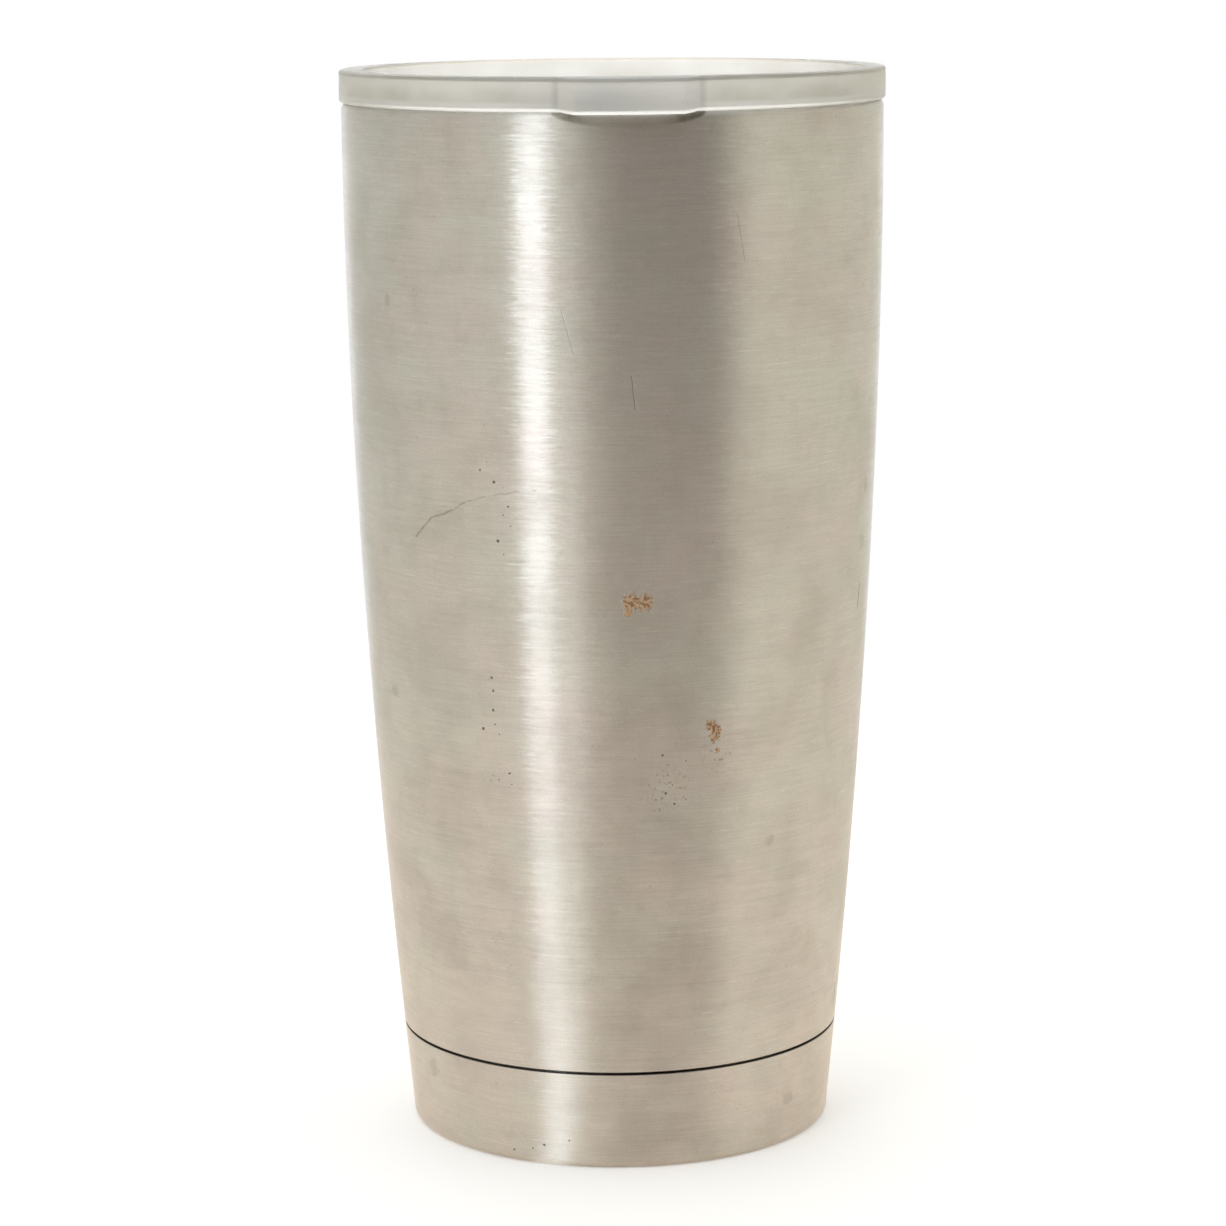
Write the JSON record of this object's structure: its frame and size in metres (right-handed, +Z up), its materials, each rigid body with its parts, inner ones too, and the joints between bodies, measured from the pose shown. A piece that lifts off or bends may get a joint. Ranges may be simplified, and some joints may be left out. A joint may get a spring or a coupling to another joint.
{
  "type": "insulated tumbler",
  "caption": "Tall tapered double-walled steel tumbler with a separate base cap and a clear press-in lid with a ring, thumb tab, recessed floor and drink slider.",
  "frame": {"origin": "centre of the base, in the plane of the foot ring that stands on the table", "axes": "+Z up along the tumbler's axis, -Y towards the lid's thumb tab, +Y towards the drink opening"},
  "size_m": [0.0896, 0.0914, 0.1766],
  "materials": {
    "brushed_steel": "stainless steel brushed round the body, satin, warm reflections, small stains, pits and scratches",
    "liner_steel": "plain drawn stainless steel, satin",
    "plain_steel": "plain pressed stainless steel",
    "copper_foil": "thin bright copper foil, lightly creased",
    "adhesive": "dark cured adhesive, matt",
    "sealing_glass": "fused sealing glass, glossy",
    "getter": "pressed grey powder pellet",
    "clear_lid": "clear moulded plastic, slightly hazed by wear",
    "slider_plastic": "grey satin-gloss plastic",
    "silicone": "translucent milky silicone"
  },
  "bodies": {
    "cup": {"outer_shell": "brushed_steel", "inner_liner": "liner_steel", "base_cap": "brushed_steel", "base_bond_ring": "adhesive", "vacuum_plate": "plain_steel", "sealing_bead": "sealing_glass", "getter_pellet": "getter", "getter_clip": "plain_steel", "foil_wrap": "copper_foil", "foil_disc": "copper_foil"},
    "lid": {"lid_body": "clear_lid", "lid_gasket": "silicone"},
    "slider": {"drink_slider": "slider_plastic", "slider_seal": "silicone"}
  },
  "joints": [
    {"name": "lid_lift", "type": "slide", "parent": "cup", "child": "lid", "axis": [0, 0, 1], "range_m": [0, 0.045]},
    {"name": "slider_shut", "type": "slide", "parent": "lid", "child": "slider", "axis": [0, 1, 0], "range_m": [0, 0.012]}
  ]
}
